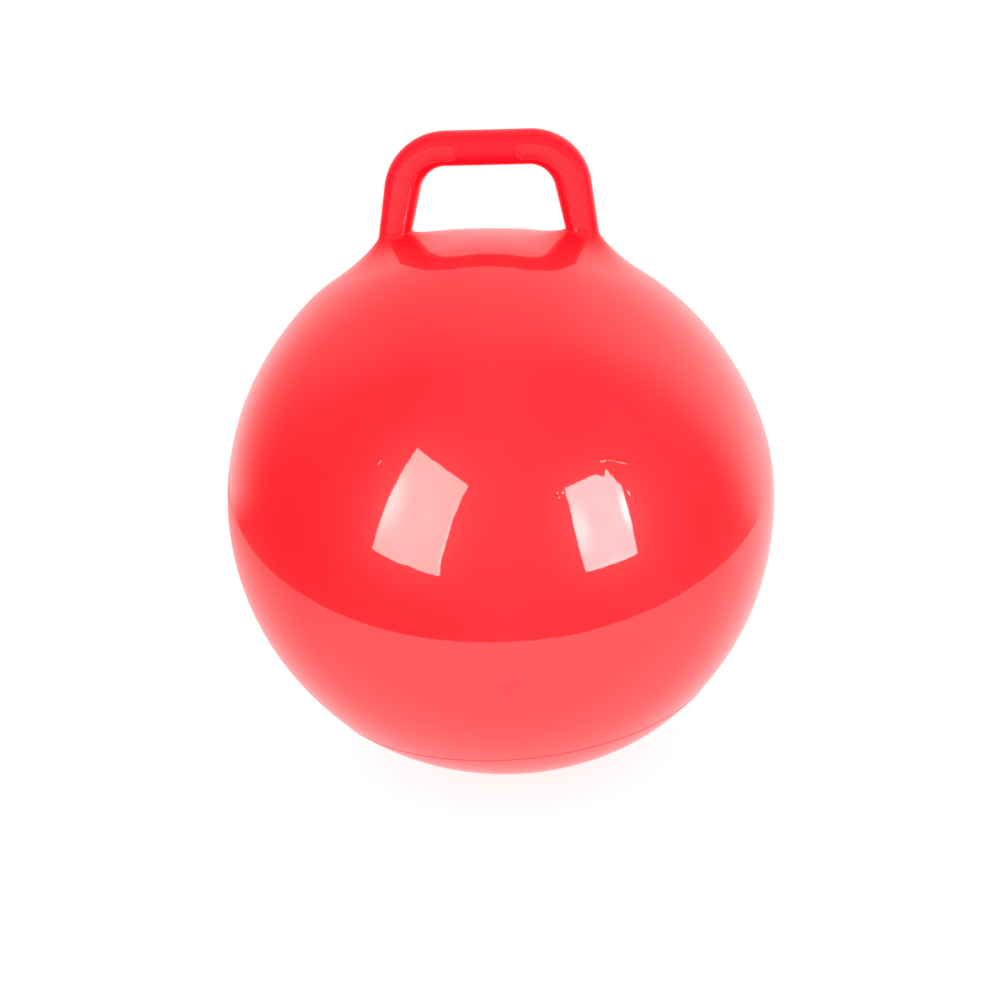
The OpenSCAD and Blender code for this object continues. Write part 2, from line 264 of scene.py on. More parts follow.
class BallForm:
    """The skin of the ball, as its distance from the ball's centre in every direction, in metres."""

    def __init__(self, sizes):
        self.radius = sizes.diameter / 2
        self.skin = sizes.skin
        self.centre_height = math.sqrt(self.radius ** 2 - (sizes.rest / 2) ** 2)
        self.rest_angle = math.asin(sizes.rest / 2 / self.radius)
        self.sizes = sizes
        lean = sizes.parting_lean
        self.parting_axis = np.array([math.sin(lean), 0.0, -math.cos(lean)])
        self.valve_axis = np.array([0.0, math.cos(sizes.valve_latitude), math.sin(sizes.valve_latitude)])
        self.valve_spread = math.asin(sizes.valve_hole / 2 / self.radius)

    def waves(self, points):
        """Height of the slow waves in the skin at the given points."""
        pitch = 2.0 * math.pi / self.sizes.wave_length
        runs = np.array([[0.8, 0.5, 0.3], [-0.5, 0.6, 0.7], [0.3, -0.4, 1.0], [-0.9, -0.2, 0.5]])
        starts = np.array([0.4, 2.1, 4.0, 5.2])
        return self.sizes.wave_height * np.sin(points @ (pitch * runs.T) + starts).mean(axis=-1)

    def direction(self, turn, rise):
        """The direction at an angle round from the front to the right and an angle over the equator."""
        return np.stack([np.sin(turn) * np.cos(rise), -np.cos(turn) * np.cos(rise), np.sin(rise)], axis=-1)

    def swellings(self, directions):
        """Height of the broad swellings of the skin at the given directions."""
        sizes = self.sizes
        from_bottom = np.arccos(np.clip(-directions[..., 2], -1.0, 1.0))
        swell = sizes.bulge * np.exp(-((from_bottom - sizes.bulge_angle) / sizes.bulge_width) ** 2)
        for turn, rise, reach, height in SWELLINGS:
            middle = self.direction(math.radians(turn), math.radians(rise))
            off = np.arccos(np.clip(directions @ middle, -1.0, 1.0))
            swell += height * MM * np.exp(-(off / math.radians(reach)) ** 2)
        return swell

    def unevenness(self, directions, swelling=1.0):
        """How far the skin stands out of a true ball, with a share of its swellings."""
        lopsided = self.sizes.lopsided * directions[..., 0] * directions[..., 2]
        return self.waves(self.radius * directions) - lopsided + swelling * self.swellings(directions)

    def mark_ends(self):
        """The small marks of the skin: points of both ends, width and height in metres."""
        for *ends, width, height in SKIN_MARKS:
            start, end = self.radius * self.direction(np.radians(ends[::2]), np.radians(ends[1::2]))
            yield start, end, width * MM, height * MM

    def marks(self, directions):
        """Height of the creases and pimples at the given directions."""
        points = self.radius * directions
        high, low = np.zeros(len(points)), np.zeros(len(points))
        for start, end, width, height in self.mark_ends():
            run = end - start
            along = np.clip((points - start) @ run / (run @ run), 0.0, 1.0)
            off = np.linalg.norm(points - start - along[:, None] * run, axis=1)
            swell = height * np.exp(-(off / width) ** 2)
            high, low = np.maximum(high, swell), np.minimum(low, swell)
        return high + low

    def mark_seeds(self):
        """Directions close together on and round the marks, for a mesh fine enough to show them."""
        seeds = []
        for start, end, width, height in self.mark_ends():
            run = end - start
            length = np.linalg.norm(run)
            along, out = run / length, unit(start)
            side = np.cross(out, along)
            step = 0.4 * width
            margin = 3.0 * width
            rows = np.arange(-margin, length + margin, step)
            columns = np.arange(-margin, margin, step)
            row, column = np.meshgrid(rows, columns, indexing="ij")
            grid = start + row[..., None] * along + column[..., None] * side
            seeds.append(unit(grid.reshape(-1, 3)))
        return seeds

    def reach(self, directions):
        """Distance from the centre to the outside of the skin."""
        sizes = self.sizes
        from_bottom = np.arccos(np.clip(directions @ self.parting_axis, -1.0, 1.0))
        off_line = np.abs(from_bottom - sizes.parting_angle) * self.radius
        bead = sizes.parting_height * eased(1.5 - off_line / (sizes.parting_width / 3))
        round_reach = self.radius + self.unevenness(directions) + bead + self.marks(directions)
        flat_reach = self.centre_height / np.maximum(-directions[:, 2], MM)
        gap = np.sqrt((round_reach - flat_reach) ** 2 + sizes.rest_softness ** 2)
        return (round_reach + flat_reach - gap) / 2

    def outside(self, directions):
        """Points and normals of the outside of the skin."""
        step = 1e-4
        reach = self.reach(directions)
        helper = np.where(np.abs(directions[:, 2:]) > 0.9, [1.0, 0.0, 0.0], [0.0, 0.0, 1.0])
        side = unit(np.cross(directions, helper))
        normals = directions * reach[:, None]
        for tangent in (side, np.cross(directions, side)):
            ahead = self.reach(unit(directions + step * tangent))
            behind = self.reach(unit(directions - step * tangent))
            normals -= ((ahead - behind) / (2.0 * step))[:, None] * tangent
        return directions * reach[:, None], unit(normals)


class HandleForm:
    """The skin of the handle, ring by ring round its tube, in metres from the ball's centre.

    A ring runs from the outer edge of the tube over the front to the inner edge and back over the rear."""

    SIDE_STEPS = 12
    FLOOR_STEPS = 26
    FLARE_STEPS = 32

    def __init__(self, ball, sizes, grips):
        self.ball, self.sizes, self.grips = ball, sizes, grips
        bar_z = ball.radius + sizes.rise - sizes.bar_height / 2
        self.turn = math.pi / 2 - sizes.lean
        self.bar_half = sizes.span / 2 - sizes.corner * math.tan(self.turn / 2)
        self.bar_z = bar_z
        self.corner_middle = np.array([self.bar_half, 0.0, bar_z - sizes.corner])
        self.down = np.array([math.sin(sizes.lean), 0.0, -math.cos(sizes.lean)])
        leg_out = np.array([math.cos(sizes.lean), 0.0, math.sin(sizes.lean)])
        leg_top = self.corner_middle + sizes.corner * leg_out
        leg_foot = leg_top + self.drop_to(leg_top, ball.radius) * self.down
        near = math.asin((leg_foot[0] - sizes.leg_foot / 2 - sizes.flare_in) / ball.radius)
        far = math.asin((leg_foot[0] + sizes.leg_foot / 2 + sizes.flare_out) / ball.radius)
        tilt = (far + near) / 2
        self.root_spread = (far - near) / 2
        self.root_axis = np.array([math.sin(tilt), 0.0, math.cos(tilt)])
        self.root_out = np.array([math.cos(tilt), 0.0, -math.sin(tilt)])
        front_top = leg_top - sizes.depth / 2 * FRONT_BACK
        self.leg_length = self.drop_to(front_top, ball.radius + sizes.flare_rise)

    def drop_to(self, points, radius):
        """How far points travel down the leg to the sphere of the given radius about the ball's centre."""
        along = points @ self.down
        return -along - np.sqrt(along ** 2 - (points ** 2).sum(axis=-1) + radius ** 2)

    def across_ring(self, half_width, middle):
        """Places across the tube round a ring, close together at the grips' edges, and the side of each."""
        power = self.sizes.squareness
        grips = self.grips
        edge_steps = np.array([1.9, 1.4, 1.0, 0.8, 0.6, 0.4, 0.2, 0.0, -0.5]) * grips.edge
        upper = middle + grips.width / 2 + edge_steps
        lower = middle - grips.width / 2 - edge_steps[::-1]
        floor = np.linspace(upper[-1], lower[0], self.FLOOR_STEPS + 1)[1:-1]
        way = np.arange(self.SIDE_STEPS) / self.SIDE_STEPS
        upper_turn = math.acos((upper[0] / half_width) ** (power / 2))
        lower_turn = math.acos((-lower[-1] / half_width) ** (power / 2))
        upper_side = half_width * np.cos(way * upper_turn) ** (2 / power)
        lower_side = -half_width * np.cos(way[::-1] * lower_turn) ** (2 / power)
        face = np.concatenate([upper_side, upper, floor, lower, lower_side])
        across = np.concatenate([face, face[-2:0:-1]])
        return across, np.where(np.arange(len(across)) < len(face), -1.0, 1.0)

    def grip_depth(self, across, middle, from_end, end_radius):
        """How far the face is sunk, given the distance of the ring inside the end of the grip."""
        inside = self.grips.width / 2 - np.abs(across - middle)
        corner = end_radius - np.hypot(end_radius - inside, end_radius - from_end)
        in_corner = (inside < end_radius) & (from_end < end_radius)
        within = np.where(in_corner, corner, np.minimum(inside, from_end))
        return self.grips.sink * eased(1.0 + within / self.grips.edge)

    def section(self, half_width, middle, end, centre, out, inset):
        """Points round the tube at a centre, with the side each lies on and how far it is sunk.

        The end is the distance of the ring inside the end of the grip, and the radius of the corners there."""
        power = self.sizes.squareness
        across, side = self.across_ring(half_width, middle)
        part = np.clip(np.abs(across) / half_width, 0.0, 1.0)
        depth = (self.sizes.depth / 2 - inset) * (1.0 - part ** power) ** (1 / power)
        sunk = np.zeros(len(across))
        if inset == 0.0:
            sunk = self.grip_depth(across, middle, *end)
        shrink = (half_width - inset) / half_width
        points = centre + (across * shrink)[:, None] * out + (side * (depth - sunk))[:, None] * FRONT_BACK
        return points, side, sunk

    def flare(self, start, t, inset):
        """Points at t of the way from a leg's foot down the flare to the rim on the ball."""
        sizes = self.sizes
        shell = self.ball.radius - (self.ball.skin if inset else 0.0)
        half_width = sizes.leg_foot / 2
        across, side = self.across_ring(half_width, 0.0)
        drop = self.drop_to(start, shell)[:, None] * self.down
        part = np.abs(across / half_width).clip(0.0, 1.0)
        turn = side * np.arccos(np.sign(across) * part ** (sizes.squareness / 2))
        rim_side = np.cos(turn)[:, None] * self.root_out + np.sin(turn)[:, None] * FRONT_BACK
        rim = math.cos(self.root_spread) * self.root_axis + math.sin(self.root_spread) * rim_side
        run = math.cos(self.root_spread) * rim_side - math.sin(self.root_spread) * self.root_axis
        finish = shell * rim
        spread = np.linalg.norm(finish - (start + drop), axis=1, keepdims=True)
        leave = start + sizes.flare_hug * drop
        arrive = finish - sizes.flare_hug * spread * run
        return ((1 - t) ** 3 * start + 3 * (1 - t) ** 2 * t * leave
                + 3 * (1 - t) * t ** 2 * arrive + t ** 3 * finish)

    def ring(self, zone, t, inset=0.0):
        """Points of the ring at t of the way along a zone, the side that each lies on and how far it is sunk.

        The zones are bar, where t is the distance from the middle in metres, and corner, leg and flare."""
        sizes, grips = self.sizes, self.grips
        round_corner = {"bar": 0.0, "corner": t}.get(zone, 1.0)
        blend = (1.0 - math.cos(math.pi * round_corner)) / 2
        half_width = (sizes.bar_height + (sizes.leg_top - sizes.bar_height) * blend) / 2
        middle = -grips.drop * (1.0 - blend)
        end = {
            "bar": (t - grips.bare / 2, grips.bar_end),
            "corner": (grips.width, grips.corner),
            "leg": ((1.0 - t) * self.leg_length - grips.end, grips.corner),
            "flare": (-grips.width, grips.corner),
        }[zone]
        out_angle = math.pi / 2 - self.turn * round_corner
        out = np.array([math.cos(out_angle), 0.0, math.sin(out_angle)])
        centre = self.corner_middle + sizes.corner * out
        if zone == "bar":
            centre = np.array([t, 0.0, self.bar_z])
        points, side, sunk = self.section(half_width, middle, end, centre, out, inset)
        if zone in ("leg", "flare"):
            foot = self.section(sizes.leg_foot / 2, 0.0, end, centre, out, inset)[0]
            outer = np.clip((foot - centre) @ out / sizes.leg_foot + 0.5, 0.0, 1.0)
            rise = sizes.flare_rise + sizes.flare_outer * outer ** 2
            foot = foot + self.drop_to(foot, self.ball.radius + rise)[:, None] * self.down
            points = (1.0 - t) * points + t * foot if zone == "leg" else self.flare(foot, t, inset)
        return points, side, sunk

    def stations(self):
        """Zones and places of the rings of the right half, from the rim on the ball to the bar's middle."""
        grips = self.grips
        fine = 0.4 * MM
        bare = grips.bare / 2
        flare = [("flare", t) for t in np.linspace(1.0, 0.0, self.FLARE_STEPS + 1)[:-1]]
        leg = [("leg", t) for t in np.linspace(1.0, 0.0, int(self.leg_length / fine))]
        corner_steps = int(self.sizes.corner * self.turn / fine)
        corner = [("corner", t) for t in np.linspace(1.0, 0.0, corner_steps)[1:]]
        bar_steps = int((self.bar_half - bare) / fine)
        bar_end = bare + np.array([0.0, -0.2, -0.4, -0.6, -0.8, -1.0, -1.3, -2.0]) * grips.edge
        bar = np.concatenate([np.linspace(self.bar_half, bare, bar_steps)[1:-1], bar_end,
                              np.linspace(bar_end[-1], 0.0, 9)[1:]])
        return flare + leg + corner + [("bar", x) for x in bar]

    def grid(self, inset=0.0, every=1):
        """All rings from the right rim to the left one: points, side and share of the grip's depth."""
        stations = self.stations()
        kept = sorted(set(range(0, len(stations), every)) | {0, len(stations) - 1})
        rings = [self.ring(*stations[i], inset) for i in kept]
        right = np.array([points for points, side, sunk in rings])
        left = right[-2::-1] * [-1.0, 1.0, 1.0]
        points = np.concatenate([right, left])
        sunk = np.array([sunk for points, side, sunk in rings])
        sunk = np.concatenate([sunk, sunk[-2::-1]]) / self.grips.sink
        return points, rings[0][1], sunk

    def rim(self):
        """Directions of the points of the right rim, in the order of a ring."""
        return unit(self.ring("flare", 1.0)[0])

    def settled(self, points):
        """Points of the handle moved with the uneven skin below it, and swayed to the right."""
        reach = np.linalg.norm(points, axis=-1)
        height = np.maximum(0.0, reach - self.ball.radius)
        directions = points / reach[..., None]
        root = eased(1.0 - height / (1.5 * self.sizes.flare_rise))
        moved = self.ball.unevenness(directions, root)[..., None] * directions
        return points + moved + (self.sizes.sway * height)[..., None] * [1.0, 0.0, 0.0]


def grid_normals(points):
    """Normals of a grid of rings, from the tangents along and around at each point."""

    def tangents(before, here, after):
        first, second = here - before, after - here
        first_length = np.linalg.norm(first, axis=-1, keepdims=True)
        second_length = np.linalg.norm(second, axis=-1, keepdims=True)
        return unit(first_length ** 2 * second + second_length ** 2 * first)

    padded = np.concatenate([2 * points[:1] - points[1:2], points, 2 * points[-1:] - points[-2:-1]])
    along = tangents(padded[:-2], points, padded[2:])
    around = tangents(np.roll(points, 1, axis=1), points, np.roll(points, -1, axis=1))
    return unit(np.cross(along, around))


def grid_faces(rows, columns, base=0):
    """Quads between the rings of a grid, which face the way of around x along."""
    row, column = np.meshgrid(np.arange(rows - 1), np.arange(columns), indexing="ij")
    low, high = base + row * columns, base + (row + 1) * columns
    turned = (column + 1) % columns
    return np.stack([low + column, low + turned, high + turned, high + column], axis=-1).reshape(-1, 4)


def strip_faces(first, second):
    """Quads between two closed loops of the same number of vertices."""
    return np.stack([first, np.roll(first, -1), np.roll(second, -1), second], axis=-1)


def add_object(name, data):
    """Adds an object to the scene."""
    thing = bpy.data.objects.new(name, data)
    bpy.context.scene.collection.objects.link(thing)
    return thing


def make_piece(name, points, normals, faces, materials, material_index=None):
    """Adds a mesh with the given vertex normals, and with a material for each of its faces."""
    mesh = bpy.data.meshes.new(name)
    mesh.from_pydata(points.tolist(), [], [list(map(int, face)) for face in faces])
    for material in materials:
        mesh.materials.append(material)
    if material_index is not None:
        mesh.polygons.foreach_set("material_index", material_index)
    mesh.update()
    mesh.normals_split_custom_set_from_vertices(normals.tolist())
    return add_object(name, mesh)


def forms(scene):
    """The forms of the ball and of its handle, from the scene's sizes."""
    ball = BallForm(scene.hopper_ball)
    return ball, HandleForm(ball, scene.hopper_handle, scene.hopper_grips)


def add_node(tree, kind, inputs=None, **settings):
    """Adds a node with its settings. An input is a value, or the socket or the node that feeds it.

    Inputs 1 to 4 of a MapRange are both ends of the range that it reads, then of the range that it gives."""
    node = tree.nodes.new("ShaderNode" + kind)
    for name, value in settings.items():
        setattr(node, name, value)
    for name, value in (inputs or {}).items():
        if isinstance(value, bpy.types.Node):
            value = value.outputs[0]
        if isinstance(value, bpy.types.NodeSocket):
            tree.links.new(value, node.inputs[name])
        else:
            node.inputs[name].default_value = value
    return node


def new_material(name):
    material = bpy.data.materials.new(name)
    material.use_nodes = True
    material.node_tree.nodes.clear()
    return material


def close_material(material, surface):
    add_node(material.node_tree, "OutputMaterial", {"Surface": surface})
    return material


def varied_colour(tree, base, pattern, darkening):
    """A colour that a pattern takes down a little in its low places."""
    dark = [part * darkening for part in base[:3]] + [1.0]
    mix = add_node(tree, "Mix", {"Factor": pattern, "A": dark, "B": list(base)}, data_type="RGBA")
    return mix.outputs[2]


def soft_pvc(name, base, roughness, shine, coat, gloss, polish=None):
    """Plasticised PVC, rotationally moulded: a clear shine over a deep, slightly cloudy red.

    Where a mesh attribute gives the polish, the coat grows with it from the given weight to a full one."""
    material = new_material(name)
    tree = material.node_tree
    if polish:
        polished = add_node(tree, "Attribute", attribute_name=polish).outputs["Fac"]
        coat = add_node(tree, "MapRange", {0: polished, 3: coat, 4: 1.0})
    place = add_node(tree, "TexCoord").outputs["Object"]
    # Thick and thin places of the skin, about 60 mm apart, shade the red by a few hundredths
    cloud = add_node(tree, "TexNoise", {"Vector": place, "Scale": 1 / (60 * MM), "Detail": 2.0})
    # Orange peel of the mould, 12 mm apart, only high enough to make the edges of reflections uneven
    peel = add_node(tree, "TexNoise", {"Vector": place, "Scale": 1 / (12 * MM), "Detail": 2.0})
    bump = add_node(tree, "Bump", {"Height": peel, "Strength": 1.0, "Distance": 0.035 * MM})
    red = varied_colour(tree, base, cloud, 0.97)
    skin = add_node(tree, "BsdfPrincipled", {
        "Base Color": red, "Roughness": roughness, "IOR": 1.53, "Specular IOR Level": shine, "Normal": bump,
        "Coat Weight": coat, "Coat Roughness": gloss, "Coat IOR": 1.6, "Coat Normal": bump})
    return close_material(material, skin)


def soft_pvc_pebbled(base, grain):
    """The same PVC where the mould was etched: a dull surface of fine pebbles for the grip. It is slightly
    pink because its red is painted paler than the handle's, as a painted sheen of the etching.
    """
    material = new_material("soft_pvc_moulded_pebbled")
    tree = material.node_tree
    place = add_node(tree, "TexCoord").outputs["Object"]
    # Etched dimples between the pebbles, a little finer than these and about three times as coarse as the
    # real ones, so that they show
    etch = add_node(tree, "TexVoronoi", {"Vector": place, "Scale": 1.2 / grain}, feature="SMOOTH_F1")
    bump = add_node(tree, "Bump", {"Height": etch, "Strength": 0.9, "Distance": 0.25 * MM}, invert=True)
    red = varied_colour(tree, base, etch, 0.7)
    skin = add_node(tree, "BsdfPrincipled", {
        "Base Color": red, "Roughness": 0.5, "IOR": 1.53, "Specular IOR Level": 0.17, "Normal": bump})
    return close_material(material, skin)


def polyethylene_moulded(base):
    """Low-density polyethylene, injection moulded: a milky white with a satin, waxy shine."""
    material = new_material("polyethylene_moulded_satin")
    tree = material.node_tree
    place = add_node(tree, "TexCoord").outputs["Object"]
    # Satin texture of the tool, 0.8 mm
    satin = add_node(tree, "TexNoise", {"Vector": place, "Scale": 1 / (0.8 * MM), "Detail": 2.0})
    bump = add_node(tree, "Bump", {"Height": satin, "Strength": 0.3, "Distance": 0.02 * MM})
    white = varied_colour(tree, base, satin, 0.97)
    wax = add_node(tree, "BsdfPrincipled", {
        "Base Color": white, "Roughness": 0.38, "IOR": 1.51, "Normal": bump,
        "Subsurface Weight": 0.2, "Subsurface Radius": [1.0, 0.9, 0.8], "Subsurface Scale": 1.5 * MM})
    return close_material(material, wax)


class HOPPER_OT_ball(bpy.types.Operator):
    """Makes the inflated ball: a closed skin with its parting line, resting patch and three openings"""
    bl_idname = "hopper_ball.ball"
    bl_label = "Ball"

    COLUMNS = 360
    VALVE_STEPS = 64
    SPACING = 5 * MM

    def low_rings(self, ball):
        """Angles and directions of the rings from just over the parting line down to the resting patch."""
        sizes = ball.sizes
        # They are close together at the bead of the line and at the edge of the patch
        bead = sizes.parting_angle + np.linspace(1.0, -1.0, 17) * 0.62 * sizes.parting_width / ball.radius
        patch_steps = np.array([4.0, 2.5, 1.5, 0.8, 0.3, 0.0, -0.3, -0.8, -1.5, -3.0]) * MM
        patch = ball.rest_angle + patch_steps / ball.radius
        between_count = int((bead[-1] - patch[0]) * ball.radius / self.SPACING)
        between = np.linspace(bead[-1], patch[0], between_count)[1:-1]
        inner = np.linspace(patch[-1], 0.0, 6)[1:-1]
        angles = np.concatenate([bead, between, patch, inner])
        # They lean with the parting line, and lie level at the patch
        level = eased((bead[-1] - angles) / (bead[-1] - patch[0]))[:, None]
        axes = unit((1.0 - level) * ball.parting_axis + level * [0.0, 0.0, -1.0])
        return angles, np.concatenate([
            circle_round(axis, np.array([-axis[2], 0.0, axis[0]]), ring_angle, self.COLUMNS)
            for axis, ring_angle in zip(axes, angles)])

    def openings(self, ball, handle):
        """Rims of the openings of both roots and of the valve, each with its axis and its angle from it."""
        mirror = np.array([-1.0, 1.0, 1.0])
        right_rim = handle.rim()
        left_rim = (right_rim * mirror)[::-1]
        valve_side = np.array([1.0, 0.0, 0.0])
        valve_rim = circle_round(ball.valve_axis, valve_side, ball.valve_spread, self.VALVE_STEPS)
        return [(right_rim, handle.root_axis, handle.root_spread),
                (left_rim, handle.root_axis * mirror, handle.root_spread),
                (valve_rim, ball.valve_axis, ball.valve_spread)]

    def upper_seeds(self, ball, top_angle, openings):
        """Directions all over the part above the rings, close together at the small marks."""
        seeds = spread_on_sphere(self.SPACING, ball.radius)
        clear = 0.6 * self.SPACING / ball.radius
        keep = seeds @ ball.parting_axis < math.cos(top_angle + clear)
        for rim, axis, spread in openings:
            keep &= seeds @ axis < math.cos(spread + clear)
        seeds = seeds[keep]
        # The seeds of a mark take the place of those already there
        for close in ball.mark_seeds():
            middle = unit(close.mean(axis=0))
            reach = np.max(np.linalg.norm(close - middle, axis=1))
            near = np.linalg.norm(seeds - middle, axis=1) < reach
            gap = 1.4 * np.linalg.norm(close[0] - close[1])
            for seed in np.nonzero(near)[0]:
                near[seed] = np.min(np.linalg.norm(close - seeds[seed], axis=1)) < gap
            seeds = np.concatenate([seeds[~near], close])
        return seeds

    def upper_triangles(self, directions, loops, openings):
        """Triangles of the part above the rings, on its stereographic map. Its closed loops come first."""
        flat = directions[:, :2] / (1.0 + directions[:, 2:])
        edges, start = [], 0
        for loop in loops:
            ids = start + np.arange(len(loop))
            edges += np.stack([ids, np.roll(ids, -1)], axis=1).tolist()
            start += len(loop)
        mapped, _, triangles = delaunay_2d_cdt(
            [Vector(p) for p in flat.tolist()], edges, [], 0, 1e-9, False)[:3]
        if len(mapped) != len(flat):
            raise RuntimeError("the triangulation of the ball's skin changed its points")
        triangles = np.array(triangles)
        middles = unit(directions[triangles].mean(axis=1))
        solid = np.ones(len(triangles), bool)
        for rim, axis, spread in openings:
            solid &= middles @ axis < math.cos(spread)
        return triangles[solid]

    def execute(self, context):
        ball, handle = forms(context.scene)
        columns = self.COLUMNS
        angles, low = self.low_rings(ball)
        openings = self.openings(ball, handle)
        loops = [low[:columns]] + [rim for rim, axis, spread in openings]
        upper = np.concatenate(loops + [self.upper_seeds(ball, angles[0], openings)])
        triangles = self.upper_triangles(upper, loops, openings)
        # Vertices: the rings below, the pole of the patch, then the upper points after the shared ring
        directions = np.concatenate([low, [[0.0, 0.0, -1.0]], upper[columns:]])
        pole = len(low)
        triangles = np.where(triangles < columns, triangles, triangles - columns + pole + 1)
        rings = grid_faces(len(angles), columns)
        last = np.arange(pole - columns, pole)
        fan = np.stack([np.full(columns, pole), last, np.roll(last, -1)], axis=-1)
        faces = [face for group in (rings, fan, triangles) for face in group.tolist()]
        points, normals = ball.outside(directions)
        count = len(points)
        inside = points * (1.0 - ball.skin / np.linalg.norm(points, axis=1, keepdims=True))
        faces += [[count + i for i in reversed(face)] for face in faces]
        first = pole + 1
        for rim, axis, spread in openings:
            ids = first + np.arange(len(rim))
            faces += strip_faces(ids, ids + count).tolist()
            first += len(rim)
        piece = make_piece(
            "ball_moulded", np.concatenate([points, inside]) + [0.0, 0.0, ball.centre_height],
            np.concatenate([normals, -normals]), faces, [bpy.data.materials["soft_pvc_moulded_glossy"]])
        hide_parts("ball_skin")
        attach(piece, "ball")
        return {"FINISHED"}


class HOPPER_OT_handle(bpy.types.Operator):
    """Makes the hollow handle on its flared roots, with the sunk pebbled grips"""
    bl_idname = "hopper_ball.handle"
    bl_label = "Handle"

    MATERIALS = ("satin", "pebbled", "root", "edge")
    SLOPE = 0.35

    def pebbles(self, points, sunk, grips):
        """Height of the grain at each point. Its pebbles stand on the floor of the grips.

        A pebble is one cell of a Voronoi pattern, with a flat top and slopes to the next cells."""
        floor = eased((sunk - 0.8) / 0.2)
        grain = np.zeros(sunk.shape)
        for row, column in zip(*np.nonzero(floor)):
            near, next_near = noise.voronoi(Vector(points[row, column] / grips.grain))[0][:2]
            grain[row, column] = grips.grain_height * min(1.0, (next_near - near) / self.SLOPE)
        return grain * floor

    def skin_faces(self, rows, hollow_rows, columns):
        """Faces of the outside, and all faces with those of the hollow inside and of both rims."""
        base = rows * columns
        outer = grid_faces(rows, columns)[:, ::-1]
        inner = grid_faces(hollow_rows, columns, base)
        first = np.arange(columns)
        last, hollow_last = first + (rows - 1) * columns, base + first + (hollow_rows - 1) * columns
        right_rim = strip_faces(first, base + first)
        left_rim = strip_faces(last, hollow_last)[:, ::-1]
        return outer, np.concatenate([outer, inner, right_rim, left_rim])

    def execute(self, context):
        ball, handle = forms(context.scene)
        points, side, sunk = handle.grid()
        points[..., 1] += side * self.pebbles(points, sunk, handle.grips)
        points = handle.settled(points)
        normals = grid_normals(points)
        rows, columns = points.shape[:2]
        for rim, mirror in ((0, 1.0), (-1, -1.0)):
            points[rim], normals[rim] = ball.outside(handle.rim() * [mirror, 1.0, 1.0])
        hollow = handle.settled(handle.grid(inset=handle.sizes.wall, every=6)[0])
        outer, faces = self.skin_faces(rows, len(hollow), columns)
        # Satin skin, pebbled floors, polished roots, and the slanted edges round the floors
        satin, pebbled, root, edge = range(len(self.MATERIALS))
        depth = sunk.reshape(-1)[outer].mean(axis=1)
        row = np.arange(len(outer)) // columns
        on_root = np.minimum(row, rows - 2 - row) < handle.FLARE_STEPS
        material_index = np.full(len(faces), satin, np.int32)
        material_index[:len(outer)] = np.select(
            [depth > 0.95, depth > 0.02, on_root], [pebbled, edge, root], satin)
        materials = [bpy.data.materials["soft_pvc_moulded_" + way] for way in self.MATERIALS]
        piece = make_piece(
            "handle_moulded",
            np.concatenate([points.reshape(-1, 3), hollow.reshape(-1, 3)]) + [0.0, 0.0, ball.centre_height],
            np.concatenate([normals.reshape(-1, 3), -grid_normals(hollow).reshape(-1, 3)]),
            faces, materials, material_index)
        # The roots take the polish of the ball's mould over the lower part of their flare
        ring = np.arange(len(piece.data.vertices)) // columns
        up_flare = np.minimum(ring, rows - 1 - ring) / handle.FLARE_STEPS
        polish = piece.data.attributes.new(ROOT_POLISH, "FLOAT", "POINT")
        polish.data.foreach_set("value", eased((0.9 - up_flare) / 0.6))
        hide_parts("handle")
        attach(piece, "ball")
        return {"FINISHED"}


class HOPPER_OT_finishes(bpy.types.Operator):
    """Makes the materials and gives the valve's bush and stopper theirs"""
    bl_idname = "hopper_ball.finishes"
    bl_label = "Materials and valve"

    def execute(self, context):
        finishes = context.scene.hopper_finishes
        # The ball's mould is polished and its skin mirrors sharply. The handle's is cast, and shines softly,
        # a little more so along the edges of the grips, where the etching ended. The numbers are roughness
        # and shine of the PVC, then weight and roughness of the clear layer of plasticiser on it
        skin = soft_pvc("soft_pvc_moulded_glossy", finishes.skin, 0.32, 0.2, 1.0, 0.02)
        soft_pvc("soft_pvc_moulded_satin", finishes.handle, 0.4, 0.05, 0.4, 0.12)
        soft_pvc("soft_pvc_moulded_edge", finishes.handle, 0.4, 0.15, 0.45, 0.2)
        soft_pvc("soft_pvc_moulded_root", finishes.skin, 0.32, 0.2, 0.05, 0.02, polish=ROOT_POLISH)
        # The grip's red carries a painted sheen of the dull etching
        soft_pvc_pebbled(finishes.grip, context.scene.hopper_grips.grain)
        wax = polyethylene_moulded(finishes.stopper)
        for node, material in (("valve_bush", skin), ("valve_plug", wax)):
            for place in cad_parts[node].material_slots:
                place.material = material
        return {"FINISHED"}


